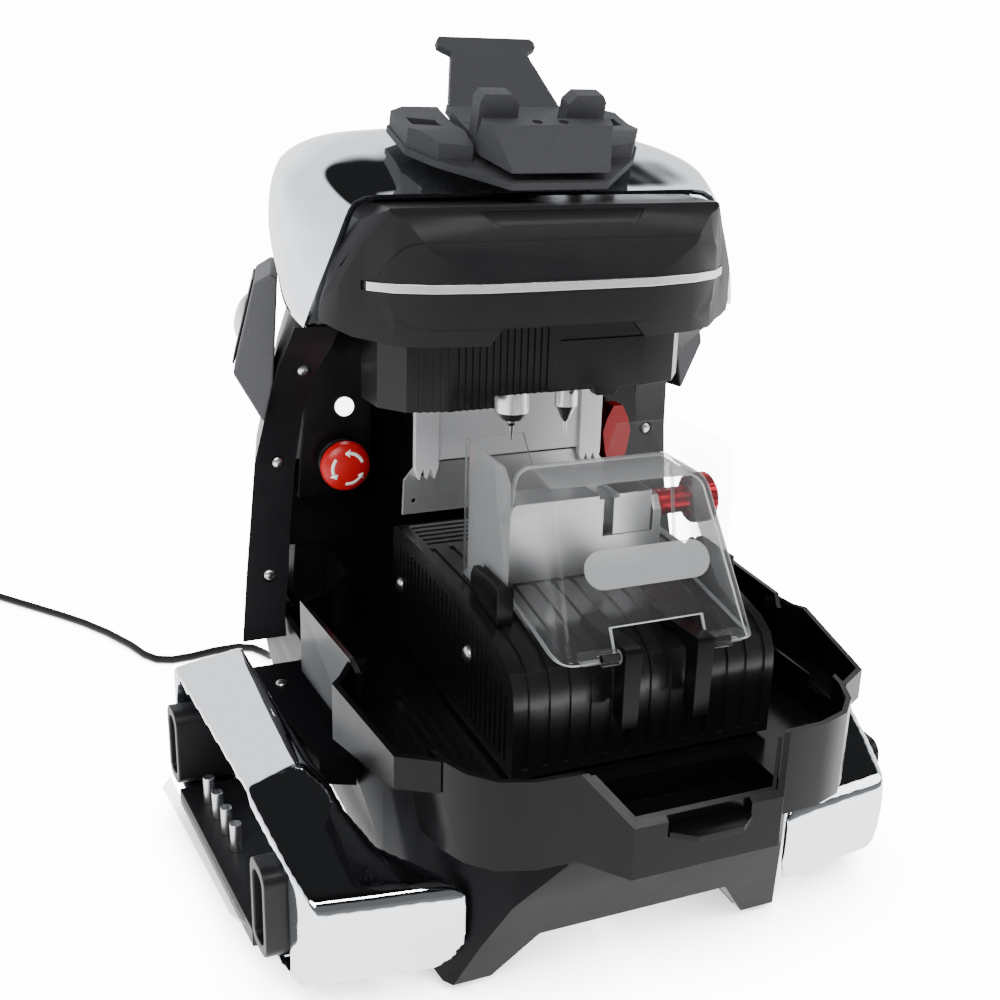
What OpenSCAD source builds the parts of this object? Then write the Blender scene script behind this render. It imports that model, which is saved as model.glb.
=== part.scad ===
// Desktop automatic key cutting machine.
// X is to the machine's right, the front faces -Y, Z is up, and the origin is on the
// floor under the middle of the machine. All sizes are in millimetres.

/* [Base and tray] */
// Top of the base shell, where the tray rests
deck_z = 126; // [120:1:130]
// Thickness of the moulded walls
wall = 3; // [2.5:0.1:3.5]
// Height of the tray rim at the back
rim_z = 172; // [168:1:176]
// Height of the clearance under the belly between the feet
arch_z = 36; // [32:1:38]
// Distance of the rear face of the base from the middle
rear_y = 207; // [200:1:210]

/* [Work table] */
// Half width of the ribbed table cover
table_w = 76.8; // [74:0.2:78]
// Top of the table cover
table_z = 206.5; // [204:0.5:207]
// Bottom edge of the table cover
table_low = 132; // [131.5:0.5:134]
// Distance between two ribs on the front of the table cover
rib_pitch = 11.6; // [10:0.2:13]
// Distance between two ribs on the sides of the table cover
side_pitch = 6.6; // [6:0.2:8]

/* [Vise] */
// Width of the slot between the two jaws at rest
jaw_gap = 6.5; // [6.3:0.1:7]
// Diameter of the red clamping knob
knob_d = 29; // [26:1:30]

/* [Spindle] */
// Distance between the cutter axis and the probe axis
tool_gap = 35; // [34:0.5:36]
// Height of the cutter and probe tips at rest
tip_z = 265; // [263:0.5:267]
// Diameter of the cutter spindle nose
nose_d = 20; // [18:0.5:20]

/* [Head and hood] */
// Half width of the chrome hood at its lower tips
hood_w = 146; // [144:1:147]
// Height of the crest of the hood
hood_z = 437; // [434:1:440]
// Half width of the head shell
head_w = 131; // [129:1:132]

/* [Emergency stop and main switch] */
// Diameter of the red mushroom head
stop_d = 32; // [28:1:34]
// Travel of the mushroom head
stop_travel = 4; // [3:0.5:4]

/* [Side pods] */
// Height of the ridge of the pods
pod_z = 100; // [97:1:102]
// Distance between two spare cutters on the shelf
bit_pitch = 19; // [17:0.5:20]

/* [Power cord] */
// Diameter of the power cord
cord_d = 6; // [5.5:0.1:6.5]

/* [Hidden] */
$fn = 48;
bore = 0.05;
// Y axis: two rails and a screw between the flanges of the belly plate
y_front = -100;
y_rear = 160;
y_axis_z = 88;
rail_x = 32;
rail_r = 5;
screw_r = 4;
// Z axis: rails and screw behind the curtain
z_axis_y = 100;
z_low = 214;
z_high = 352;
// Where the slanted inner wall of a pod passes
pod_inner = [156, 20];
function pod_side_at(y) = y < pod_inner[1]
    ? [156 - 10 * (pod_inner[1] - y) / 80, y] : [156 + 4 * (y - pod_inner[1]) / 102, y];

// Half outlines are lists of points with x >= 0, from one end on the middle line to
// the other. both() adds the mirrored half.
function both(half) = concat(half,
    [for (i = [len(half) - 1 : -1 : 0]) [-half[i][0], half[i][1]]]);
function shift(points, d) = [for (p = points) p + d];
function lerp(a, b, t) = a + (b - a) * t;

// A profile drawn in Y and Z, drawn out along X, and one drawn in X and Z, along Y.
module along_x(w, x = 0) translate([x, 0, 0]) rotate([90, 0, 90])
    linear_extrude(w, center = true) children();
module along_y(y0, y1) translate([0, y1, 0]) rotate([90, 0, 0])
    linear_extrude(y1 - y0) children();
module mirror_x() {
    children();
    mirror([1, 0, 0]) children();
}
module box(lo, hi) translate(lo) cube(hi - lo);
module rod_x(x0, x1, y, z, r) translate([x0, y, z]) rotate([0, 90, 0])
    cylinder(r = r, h = x1 - x0);
module rod_y(y0, y1, x, z, r) translate([x, y0, z]) rotate([-90, 0, 0])
    cylinder(r = r, h = y1 - y0);
module rod_z(z0, z1, x, y, r) translate([x, y, z0]) cylinder(r = r, h = z1 - z0);

// ---- base ----
base_front = [[0, arch_z], [58, arch_z], [80, 5], [106, 5], [114, 16], [124, 60],
    [130, 100], [132, deck_z]];
base_front_in = [[0, arch_z + wall], [59.5, arch_z + wall], [72, 26], [106, 26],
    [113, 34], [120.5, 60], [126.5, 100], [128.5, deck_z + 1]];
base_side = [[-171, deck_z], [-166, 100], [-150, 70], [-134, arch_z], [-121, 5],
    [-72, 5], [-58, 22], [128, 22], [140, 5], [rear_y - 10, 5], [rear_y, 40], [rear_y, deck_z]];
base_side_in = [[-167.5, deck_z + 1], [-162.5, 100], [-147, 71], [-131, 39],
    [-118, 26], [rear_y - 6, 26], [rear_y - wall, 41], [rear_y - wall, deck_z + 1]];
base_plan = [[0, -171], [56, -169], [82, -149], [108, -113], [124, -66], [132, 0],
    [132, rear_y]];
base_plan_in = [[0, -167.5], [55, -165.7], [79.5, -147], [105, -111.5], [121, -65],
    [129, 0], [129, rear_y - wall]];
foot_x = [83, 103];
foot_y = [[-108, -78], [152, 188]];

module base_shell() color("#18181a") difference() {
    union() {
        intersection() {
            along_y(-180, 210) polygon(both(base_front));
            along_x(300) polygon(base_side);
            linear_extrude(200) polygon(both(base_plan));
        }
        // brackets that carry the pods
        mirror_x() intersection() {
            along_y(-30, 96) polygon([[128, 82], [160, 90], [160, 103], [128, 103]]);
            linear_extrude(200) polygon([[128, -30], pod_side_at(-30), pod_inner,
                pod_side_at(96), [128, 96]]);
        }
    }
    intersection() {
        along_y(-190, 220) polygon(both(base_front_in));
        along_x(290) polygon(base_side_in);
        linear_extrude(200) polygon(both(base_plan_in));
    }
    box([-52, -104, arch_z - 1], [52, 176, arch_z + wall + 1]);
    // notch for the pocket of the tray
    box([-60.8, -180, pocket_z - 0.4], [60.8, -139.2, deck_z + 1]);
    for (y = foot_y) mirror_x()
        box([foot_x[0], y[0], 0], [foot_x[1], y[1], 9]);
    rod_y(rear_y - 10, rear_y + 1, gland_at[0], gland_at[1], 7);
    // pod screws
    mirror_x() rod_z(80, 120, 147, 67.5, 2);
}

// Belly plate with two flanges that carry the rails and the screw of the Y axis
module base_plate() color("#8a8c90") difference() {
    union() {
        box([-55, -108, arch_z - 2], [55, 182, arch_z]);
        for (y = [y_front, y_rear]) box([-46, y - 2, arch_z - 1], [46, y + 2, 110]);
    }
    for (x = [-50, 50], y = [-104, 0, 178]) rod_z(30, 40, x, y, 1.6);
    for (i = [0 : 6]) box([-30, 40 + i * 14, 30], [30, 45 + i * 14, 40]);
    mirror_x() rod_y(y_front - 9, y_rear + 9, rail_x, y_axis_z, rail_r);
    rod_y(y_front - 9, y_rear + 9, 0, y_axis_z, screw_r + bore);
}

module rubber_feet() color("#101010") for (y = foot_y) mirror_x()
    translate([0, 0, 0]) difference() {
        box([foot_x[0] + 0.2, y[0] + 0.2, 0], [foot_x[1] - 0.2, y[1] - 0.2, 9]);
        rod_z(-1, 3, (foot_x[0] + foot_x[1]) / 2, (y[0] + y[1]) / 2, 5);
    }

// ---- tray ----
tray_plan = [[0, 124], [104, 124], [104, 70], [125, 45], [142, 36], [137, -48],
    [133, -60], [119, -140], [112, -156], [100, -168], [82, -174], [60, -175],
    [42, -198], [0, -198]];
tray_plan_in = [[0, 125], [101, 125], [101, 68.7], [123.2, 42.5], [138.8, 33.8],
    [134, -48], [130, -60], [116.2, -139], [109.6, -154], [98.8, -165.2],
    [81.4, -171], [58.2, -172], [40.4, -195], [0, -195]];
ear_plan = [[128, -46], [137, -46], [150, -60], [139, -130], [119, -142], [118, -120]];
ear_plan_in = [[125, -49], [136, -49], [146.6, -61], [136.2, -128], [119, -138.5],
    [116, -120]];
tray_side = [[126, deck_z], [126, rim_z], [-48, rim_z], [-54, 166], [-130, 158],
    [-175, 157], [-198, 136.5], [-198, 108], [-122, 108], [-112, deck_z]];
drawer_plan = [[0, -143], [57, -143], [57, -172.2], [39.6, -194.2], [0, -194.2]];
drawer_plan_in = [[0, -145], [55, -145], [55, -171.5], [38.7, -192.2], [0, -192.2]];
// Pocket of the tray that the drawer drops into
pocket_plan = [[0, -142.6], [57.4, -142.6], [57.4, -172.4], [39.8, -194.6], [0, -194.6]];
pocket_outer = [[0, -139.6], [60.4, -139.6], [60.4, -173.5], [42, -198], [0, -198]];
pocket_z = 108;
tab_w = 23;

module chip_tray() color("#1b1b1d") difference() {
    union() {
        difference() {
            intersection() {
                linear_extrude(200) polygon(both(tray_plan));
                along_x(400) polygon(tray_side);
            }
            translate([0, 0, deck_z + 3]) linear_extrude(100) polygon(both(tray_plan_in));
            // the skirt is open from below
            translate([0, 0, 100]) linear_extrude(deck_z - 100)
                polygon(both(tray_plan_in));
        }
        // shallow shelves at both sides
        mirror_x() difference() {
            intersection() {
                linear_extrude(200) polygon(ear_plan);
                along_x(400) polygon([[-46, 131], [-46, 170], [-54, 166], [-130, 158],
                    [-142, 157.6], [-142, 140], [-130, 140]]);
            }
            intersection() {
                translate([0, 0, 1]) linear_extrude(200) polygon(ear_plan_in);
                along_x(400) polygon([[-40, 134], [-40, 190], [-160, 190], [-160, 143],
                    [-130, 143]]);
            }
        }
        // pocket of the drawer
        translate([0, 0, pocket_z]) linear_extrude(deck_z + 2 - pocket_z)
            polygon(both(pocket_outer));
        // wall between the right shelf and the floor
        box([117, -112, deck_z], [119.5, -52, 150]);
        // stepped ribs on the left floor
        for (i = [0 : 4]) translate([-84 - i * 7, 0, deck_z + 2.5]) {
            box([-1, -96, 0], [0, -18 - i * 2, 2.2]);
            box([-1 - (i < 2 ? 8 : 4), -18 - i * 2, 0], [0, -16.8 - i * 2, 2.2]);
        }
    }
    // the shelves open into the bowl
    mirror_x() intersection() {
        translate([0, 0, 135]) linear_extrude(100)
            polygon([[120, -56], [136, -56], [134, -120], [114, -134], [117, -120]]);
        along_x(400) polygon([[-40, 135], [-40, 190], [-160, 190], [-160, 144], [-130, 144]]);
    }
    // slot for the post of the Y carriage, the mouth of the pocket and its notch
    box([-20, -74, 120], [20, 66, 140]);
    translate([0, 0, pocket_z + wall]) linear_extrude(100) polygon(both(pocket_plan));
    box([-tab_w - 0.5, -200, 128], [tab_w + 0.5, -194, 150]);
}

module chip_drawer() color("#151516") {
    difference() {
        intersection() {
            linear_extrude(200) polygon(both(drawer_plan));
            along_x(200) polygon([[-143, 111.4], [-143, 130], [-172, 130], [-174, 155.4],
                [-175, 155.4], [-195, 137], [-195, 111.4]]);
        }
        translate([0, 0, 113.6]) linear_extrude(100) polygon(both(drawer_plan_in));
    }
    // finger tab
    translate([0, 0, 128.3]) linear_extrude(3) polygon([[-tab_w, -193], [-tab_w, -199],
        [-12, -207], [14, -207], [tab_w, -200], [tab_w, -193]]);
}

// ---- side frames ----
// Front edge of the throat, seen from the side
throat = [[46, 333], [60, 318], [88, 298], [112, 265], [121, 231], [122, 190],
    [118, 156], [112, 114]];
flange_t = 5;
// Inner edge of the front flange and outer face of the skin, seen from the front
frame_in = [[112, 333], [114.9, 298], [121.3, 231], [128.6, 156], [132.6, 128]];
skin = [[113, 345], [128.2, 298], [144, 231], [151.5, 156], [155, 114]];
skin_turn = 14;
skin_pivot = 119;
frame_z = deck_z + 3;
frame_screw_at = [[123, 91, 298], [132.5, 121.2, 231], [141, 118, 156]];

// Turns a profile in X and Z so that it leans inwards towards the back
module leaning(y0, y1) translate([0, skin_pivot, 0]) rotate([0, 0, skin_turn])
    along_y(y0 - skin_pivot, y1 - skin_pivot) children();
module inside_skin(y0, y1, d) leaning(y0, y1)
    polygon(concat(shift(skin, [-d, 0]), [[-60, 110], [-60, 346]]));

module side_frame() difference() {
    intersection() {
        inside_skin(0, 240, 0);
        union() {
            // front flange, 5 mm deep along the throat
            intersection() {
                along_y(30, 200) polygon(concat(frame_in, [[132.6, 114], [190, 114],
                    [190, 333]]));
                along_x(400) polygon(concat(throat, shift([for (i = [len(throat) - 1 : -1 : 0])
                    throat[i]], [flange_t, 1])));
            }
            // outer skin
            difference() {
                intersection() {
                    along_x(400) polygon(concat(throat, [[186, 114], [186, 340],
                        [127, 340], [127, 333]]));
                    along_y(0, 240) polygon([[0, frame_z], [132.6, frame_z], [132.6, 114],
                        [200, 114], [200, 350], [0, 350]]);
                }
                inside_skin(0, 240, wall);
            }
            // foot on the flange of the rear housing
            box([126, 127, frame_z], [170, 186, frame_z + 3]);
        }
    }
    for (s = frame_screw_at) {
        rod_y(s[1] - 12, s[1] + 12, s[0], s[2], 1.9);
        rod_y(s[1] - 12, s[1] + 0.6, s[0], s[2], 5);
    }
}

module right_side_frame() color("#202022") side_frame();
module left_side_frame() color("#202022") mirror([1, 0, 0]) side_frame();

module dome_head(r = 4) rotate_extrude() polygon(concat([[0, 0]],
    [for (a = [0 : 15 : 90]) [r * cos(a), 0.55 * r * sin(a)]]));
module frame_screws() color("silver") mirror_x() {
    for (s = frame_screw_at) translate([s[0], s[1] + 0.6, s[2]]) rotate([90, 0, 0]) {
        dome_head();
        translate([0, 0, -3]) cylinder(r = 1.9, h = 3.5);
    }
    translate([147, 67.5, 103]) dome_head();
    rod_z(93, 103.5, 147, 67.5, 2);
}

// ---- rear housing ----
rear_front = [[0, deck_z], [131.9, deck_z], [131.9, frame_z], [124, frame_z], [123, 156],
    [117, 231], [102, 298], [88, 340], [88, 396], [0, 396]];
rear_front_in = [[0, frame_z], [121, frame_z], [120, 156], [114, 231], [99.2, 298],
    [85, 340], [85, 393], [0, 393]];
table_gap_z = 209;
column_x = 50;

module rear_housing() color("#161617") difference() {
    union() {
        difference() {
            along_y(126, 189) polygon(both(rear_front));
            along_y(129, 190) polygon(both(rear_front_in));
        }
        // rim that closes the back of the base
        box([-131.9, 188.9, deck_z], [131.9, rear_y, frame_z]);
        // column in front of the housing, with its two bearing plates
        mirror_x() box([column_x, 67, table_gap_z + 1], [column_x + 4, 127, z_high + 4]);
        box([-column_x - 4, 64, z_low - 4], [column_x + 4, 127, z_low]);
        box([-column_x - 4, 67, z_high], [column_x + 4, 127, z_high + 4]);
    }
    box([-45, 120, z_low + 7], [45, 130, z_high - 7]);
    mirror_x() rod_z(table_gap_z, z_high + 9, 34, z_axis_y, rail_r);
    rod_z(table_gap_z, z_high + 9, 0, z_axis_y, screw_r + bore);
    rod_y(120, 135, stop_at[0], stop_at[1], 11.3);
    rod_y(120, 137, switch_at[0], switch_at[1], 6.4);
}

module rear_cover() color("#202022") difference() {
    along_y(189, 192) polygon(both([[0, frame_z + 0.2], [122, frame_z + 0.2], [121, 156],
        [115, 231], [100, 298], [86, 344], [86, 391], [0, 391]]));
    for (i = [0 : 9], side = [-1, 1])
        box([side * 48 - 28, 185, 150 + i * 9], [side * 48 + 28, 200, 154 + i * 9]);
}

// ---- inner panels, e-stop and main switch ----
panel_y = 112;
stop_at = [-95, 232];
lamp_at = [-91.5, 267];
switch_at = [94, 237];

// Upper face, ledge under it and the lower wall behind the table, for x > 0
module inner_panel() {
    along_y(panel_y, panel_y + 3) polygon([[74, table_gap_z], [122, table_gap_z],
        [120.5, 231], [113.6, 298], [112, 316], [74, 316]]);
    box([74, panel_y, table_gap_z], [122, 124, table_gap_z + 2]);
    along_y(124, 126) polygon([[0, frame_z + 1], [100, frame_z + 1], [100, 173], [126.6, 173],
        [121, 231], [74, 231], [74, table_gap_z + 2], [55, table_gap_z + 2],
        [55, table_gap_z], [0, table_gap_z]]);
}
module left_inner_panel() color("#1c1c20") mirror([1, 0, 0]) difference() {
    inner_panel();
    rod_y(100, 130, -stop_at[0], stop_at[1], 11);
    rod_y(100, 130, -lamp_at[0], lamp_at[1], 4.5);
}
module right_inner_panel() color("#1c1c20") difference() {
    union() {
        inner_panel();
        rod_y(108.8, panel_y + 0.5, switch_at[0], switch_at[1], 12);
    }
    rod_y(100, 130, switch_at[0], switch_at[1], 6 + bore);
}

module estop_base() color("#222222") difference() {
    union() {
        rod_y(108, panel_y, stop_at[0], stop_at[1], 14.5);
        rod_y(panel_y, 148, stop_at[0], stop_at[1], 11);
    }
    rod_y(100, 142, stop_at[0], stop_at[1], 6 + bore);
}

module estop_button() color("red")
    translate([stop_at[0], 108 - stop_travel, stop_at[1]]) rotate([90, 0, 0]) {
        rotate_extrude() polygon([[0, 0.6], [12, 0.6], [14.5, 1.6], [stop_d / 2, 4],
            [stop_d / 2, 6], [15, 9], [12, 11.4], [7, 12.8], [0, 13.4]]);
        translate([0, 0, -32]) cylinder(r = 6, h = 34);
    }

module status_lamp() color("white") {
    rod_y(110.4, panel_y, lamp_at[0], lamp_at[1], 6);
    rod_y(panel_y, 118, lamp_at[0], lamp_at[1], 4.5);
}

module switch_handle() color("red") translate([switch_at[0], 0, switch_at[1]]) {
    along_y(92, 104) polygon([[-3.5, 21], [3.5, 21], [8, 12], [10.5, 3], [8, -12],
        [3.5, -21], [-3.5, -21], [-8, -12], [-10.5, 3], [-8, 12]]);
    rod_y(103.9, 108.4, 0, 0, 10);
    rod_y(104, 134, 0, 0, 6);
}

// ---- side ears ----
ear_outer = [[126, 352], [130, 355], [140, 349], [154, 295], [138, 266], [132, 262]];
module side_ears() color("#2c2c2e") mirror_x() difference() {
    leaning(64, 132) polygon(ear_outer);
    inside_skin(0, 240, 0);
}
module ear_badges() color("#101012") mirror_x() leaning(84, 128)
    polygon([[140.3, 347.8], [141.5, 348.2], [155.3, 296.4], [154, 296]]);

// ---- column guard ----
module column_guard() color("#c9ccd0") difference() {
    along_y(62, 64) polygon(both([[0, 241], [60, 241], [68.5, 231],
        [69.5, table_gap_z - 0.3], [0, table_gap_z - 0.3]]));
    mirror_x() for (z = [217, 234]) rod_y(60, 66, 62 - (z - 217) / 3, z, 1.6);
}

module guard_curtain() color("#d4d6d8") {
    along_y(59, 60.2) polygon([[-48, 243], [48, 243], [48, 296], [-48, 296]]);
    // folded ends with pointed bottoms
    mirror_x() for (i = [0 : 2]) translate([48 + i * 5, 0, 0])
        along_y(56.5, 61.5) polygon([[0, 296], [5, 296], [5, 239], [2.5, 232], [0, 239]]);
    mirror_x() box([column_x, 61.4, 262], [column_x + 4, 67, 290]);
}

// ---- head ----
head_z = 403.4;
head_front = [[0, head_z], [99, head_z], [110, 396], [124, 371], [head_w, 345],
    [head_w, 341], [116, 334], [96, 331], [48, 331], [40, 340], [0, 340]];
head_front_in = [[0, head_z - wall], [97.6, head_z - wall], [107.6, 394], [121.2, 370],
    [128, 344.5], [128, 320], [0, 320]];
head_side = [[-20, 325], [-20, 352], [-18, 370], [-9, 397], [-3, head_z], [126, head_z],
    [126, 325]];
head_side_in = [[-17, 320], [-17, 352], [-15, 369.5], [-6.4, 395.5], [-1.8, head_z - wall],
    [130, head_z - wall], [130, 320]];
head_plan = [[0, -20.4], [50, -19.5], [80, -14], [98, -6], [110, 6], [122, 14],
    [129, 24], [131, 36], [131, 60], [120.6, 126]];
head_plan_in = [[0, -17.4], [49.5, -16.5], [78.6, -11.2], [95.8, -3.6], [107.8, 8.2],
    [119.8, 16.4], [126.2, 25], [128, 36.6], [128, 60], [118, 130]];
strip_z = [360, 365];
strip_plan = [[0, -20.4], [50, -19.5], [80, -14], [98, -6], [110, 6]];

module brow_outline() polygon([[-50, 401], [50, 401], [41, 391.5], [-41, 391.5]]);

module head_outer() intersection() {
    along_y(-30, 126) polygon(both(head_front));
    along_x(300) polygon(head_side);
    linear_extrude(450) polygon(both(head_plan));
}
// Oblong pad with round ends that stands proud of the front face
pad_z = [341, 386];
pad_r = (pad_z[1] - pad_z[0]) / 2;
module pad_outline() {
    translate([-82, pad_z[0]]) square([164, 2 * pad_r]);
    for (x = [-82, 82]) translate([x, pad_z[0] + pad_r]) circle(pad_r);
}

module head_shell() color("#19191b") difference() {
    union() {
        head_outer();
        intersection() {
            translate([0, -1.2, 0]) head_outer();
            along_y(-30, 30) pad_outline();
        }
    }
    intersection() {
        along_y(-30, 123) polygon(both(head_front_in));
        along_x(290) polygon(head_side_in);
        linear_extrude(450) polygon(both(head_plan_in));
    }
    // seat of the strip
    translate([0, 0, strip_z[0]]) linear_extrude(strip_z[1] - strip_z[0])
        difference() {
            translate([-112, -30]) square([224, 39]);
            polygon(both(concat(shift(strip_plan, [0, 1]), [[112, 10]])));
        }
    box([-58, 110, 300], [58, 130, 402]);
    // room for the hood
    hood_cuts(2.5);
    // stepped frame around the brow
    intersection() {
        along_y(-30, 20) difference() {
            brow_outline();
            polygon([[-46, 399], [46, 399], [39, 393.2], [-39, 393.2]]);
        }
        along_x(200) polygon([[-30, 380], [-18.9 + (380 - 370) / 3, 380], [-8.6, 397],
            [-2.6, head_z - 0.6], [-2, 410], [-30, 410]]);
    }
}

module head_strip() color("silver") translate([0, 0, strip_z[0]])
    linear_extrude(strip_z[1] - strip_z[0]) difference() {
        polygon(both(concat(shift(strip_plan, [0, -2.4]), [[110, 8]])));
        polygon(both(concat(shift(strip_plan, [0, 1]), [[112, 10]])));
    }

// ---- hood ----
hood_front = [[0, 446], [60, 439.5], [90, 433.5], [108, 428.5], [118, 423.5], [127, 417],
    [134, 410.5], [139, 401], [142.5, 388], [145, 374], [hood_w, 360], [hood_w, 330], [0, 330]];
hood_front_in = [[0, 443], [59.6, 436.5], [89.2, 430.6], [106.9, 425.7], [116.4, 421],
    [125, 414.8], [131.7, 408.6], [136.1, 399.8], [139.5, 387.5], [142, 373.6],
    [hood_w - 3, 359.8], [hood_w - 3, 320], [0, 320]];
hood_side = [[20, 407], [60, 424], [92, 434], [118, hood_z], [146, 433], [172, 424],
    [192, 407], [192, 392], [122, 379], [77, 362], [60, 346], [28, 334], [24, 350]];
hood_side_in = [[0, 395], [20, 403.7], [61, 420.8], [93, 430.8], [118, hood_z - 3.2],
    [145.5, 429.8], [170.5, 421], [189, 405.4], [189, 300], [0, 300]];
hood_plan = [[0, 0], [139, 0], [139, 28], [hood_w, 46], [hood_w, 62], [143.5, 80],
    [139.5, 100], [133, 130], [123.5, 160], [116, 180], [110, 192]];
hood_plan_in = [[0, -1], [136, -1], [136, 28.6], [hood_w - 3, 46.8], [hood_w - 3, 61.8],
    [140.5, 79.6], [136.5, 99.3], [130, 129.2], [120.6, 159], [113.1, 179], [108.2, 189]];
// What lies outside a flat cut through a point, the inset deeper
module beyond(at, turn, inset) translate(at) rotate(turn)
    translate([-inset, -300, -300]) cube([300, 600, 600]);
module hood_cuts(inset) mirror_x() {
    beyond([139, 28, 340], [0, -17.9, -23.9], inset);
    beyond([112, 100, 428], [0, -50.3, 9.9], inset);
}

module chrome_hood() color("#e8eaee") {
    difference() {
        intersection() {
            along_y(-10, 200) polygon(both(hood_front));
            along_x(320) polygon(hood_side);
            linear_extrude(460) polygon(both(hood_plan));
        }
        hood_cuts(0);
        difference() {
            intersection() {
                along_y(-20, 189) polygon(both(hood_front_in));
                along_x(310) polygon(hood_side_in);
                linear_extrude(460) polygon(both(hood_plan_in));
            }
            hood_cuts(2);
        }
    }
    // posts that stand on the head
    mirror_x() {
        rod_z(head_z, 421.5, 60, 60, 5);
        rod_z(head_z, 433, 60, 105, 5);
    }
}

// ---- phone holder ----
holder_tilt = 17;
holder_at = [1, 411];
module in_holder() translate([0, holder_at[0], holder_at[1]]) rotate([holder_tilt, 0, 0])
    children();
pivot_y = 40;
pivot_z = 10;

module phone_mount() color("#232325") in_holder() difference() {
    union() {
        linear_extrude(4) polygon(both([[0, 0], [29, 0], [62, 34], [73, 52], [73, 86],
            [60, 96], [0, 96]]));
        // wings at both sides
        mirror_x() intersection() {
            linear_extrude(17) polygon([[41, 30], [60, 34], [72, 53], [72, 85], [59, 95],
                [41, 95]]);
            along_x(200) polygon([[28, 3.9], [31, 13], [46, 16], [66, 13], [92, 13],
                [94, 3.9]]);
        }
    }
    mirror_x() {
        rod_x(40, 46, pivot_y, pivot_z, 2.5 + bore);
        translate([0, 0, 9]) linear_extrude(10) polygon([[50, 58], [66, 62], [66, 74],
            [50, 70]]);
    }
}

module phone_cradle() color("#2a2a2c") in_holder() {
    difference() {
        intersection() {
            linear_extrude(60) polygon(both([[0, 1], [29.5, 1], [38.5, 26], [38.5, 60],
                [36, 92], [0, 92]]));
            along_x(100) polygon([[0, 9.2], [2, 12], [20, 29], [30, 29], [36, 16],
                [90, 15], [92, 9.2]]);
        }
        mirror_x() rod_z(22, 40, 8, 25, 3);
    }
    // prongs
    mirror_x() along_y(36, 47) polygon([[14, 12], [38.4, 12], [38.4, 36], [36, 40],
        [20, 40], [15, 35]]);
    // tall back plate, leaning back
    translate([0, 85.5, 14]) rotate([-59, 0, 0]) along_y(0, 5) polygon(both([[0, 0],
        [36, 0], [24.4, 42], [31.7, 47], [31.7, 51], [29.5, 53.5], [0, 53.5]]));
    // pivot pins
    mirror_x() rod_x(38, 45, pivot_y, pivot_z, 2.5);
}

// ---- side pods ----
pod_plan = [[-160, 122], [-156, 20], [-152.5, -30], [-146, -68], [-136, -94],
    [-118, -110], [-98, -129.5], [-101.5, -136], [-134, -134], [-165, -130], [-174, -125],
    [-180, -113], [-185.5, -92], [-193.5, -51], [-206, 122]];
pod_front = [[-214, 10], [-214, 60], [-208, 97], [-205.5, pod_z - 1.5], [-202, pod_z],
    [-163, pod_z + 6.5], [-158, pod_z + 6], [-150, pod_z + 1], [-96, pod_z - 2], [-96, 10]];
pod_open = [[-240, 15], [-240, 90], [-210, 93.5], [-203, pod_z - 4], [-164, pod_z + 2.5],
    [-152, pod_z - 3], [-140, 80], [-140, 15]];
pod_side_in = [[118, 15], [118, 110], [-30, 110], [-49, 92], [-92, 75], [-92, 15]];
// Nose: height over the way back from its crease, which runs inwards and forwards
nose_tip = [-101, -131];
nose_turn = -8.7;
nose = [[5, 26], [1, 38], [-0.8, 50], [-0.6, 60], [0.6, 67], [2.4, 71], [5, 73.6],
    [8, 75.2], [300, 194], [300, 14], [14, 14], [9, 19]];

module pod() difference() {
    intersection() {
        translate([0, 0, 11]) linear_extrude(130) polygon(pod_plan);
        along_y(-140, 122) polygon(pod_front);
        translate(nose_tip) rotate(nose_turn) along_x(500) polygon(nose);
    }
    // hollow, open at the outer side
    intersection() {
        linear_extrude(130) polygon([[-163, 118], [-159.5, 20], [-156, -30], [-151, -64],
            [-149, -88], [-172, -92], [-240, -92], [-240, 118]]);
        along_x(520) polygon(pod_side_in);
        along_y(-140, 130) polygon(pod_open);
    }
}
module left_pod() color("#e4e6ea") pod();
module right_pod() color("#e4e6ea") mirror([1, 0, 0]) pod();

// Outer faces of the end caps lie on this line
pod_line = [[-196, -92], [-212, 122]];

// Hollow cap with round corners, open outwards
module end_cap(y0, y1, z0, z1) {
    r = 9;
    intersection() {
        translate([-230, 0, 0]) difference() {
            translate([0, 0, 0]) cap_block(y0, y1, z0, z1, r, 0, 62);
            cap_block(y0 + 5, y1 - 5, z0 + 6, z1 - 6, r - 3, -1, 50);
        }
        linear_extrude(130) polygon([pod_line[0], pod_line[1], [-150, 122], [-150, -92]]);
    }
}
module cap_block(y0, y1, z0, z1, r, x0, x1) translate([x0, 0, 0]) rotate([90, 0, 90])
    linear_extrude(x1 - x0) {
        translate([y0 + r, z0]) square([y1 - y0 - 2 * r, z1 - z0]);
        translate([y0, z0 + r]) square([y1 - y0, z1 - z0 - 2 * r]);
        for (y = [y0 + r, y1 - r], z = [z0 + r, z1 - r]) translate([y, z]) circle(r);
    }
front_cap = [-90, -64];
rear_cap = [93, 117.6];
module pod_end_caps() color("#242426") mirror_x() {
    end_cap(front_cap[0], front_cap[1], 22, 77);
    end_cap(rear_cap[0], rear_cap[1], 26, 78);
}
module bit_shelves() color("#1c1c1e") mirror_x() translate([0, 0, 15])
    linear_extrude(11) polygon([[-197.9, front_cap[1]], [-209.8, rear_cap[0]],
        [-170, rear_cap[0]], [-165, front_cap[1]]]);
module spare_bits() color("#b4b6b8") mirror_x() for (i = [0 : 3])
    rod_z(26, 44, -190 - i * 1.6, 14 + i * bit_pitch, 3.5);
// Flat clear ledge that reaches out past the shelf
module pod_windows() color("#dfe8ee") mirror_x() translate([0, 0, 19]) linear_extrude(2.2)
    polygon([[-198.96, -50], [-209.8, rear_cap[0]], [-210.1, rear_cap[0] + 0.1], [-212, 118],
        [-218.5, 108], [-204.5, -38]]);

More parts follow.
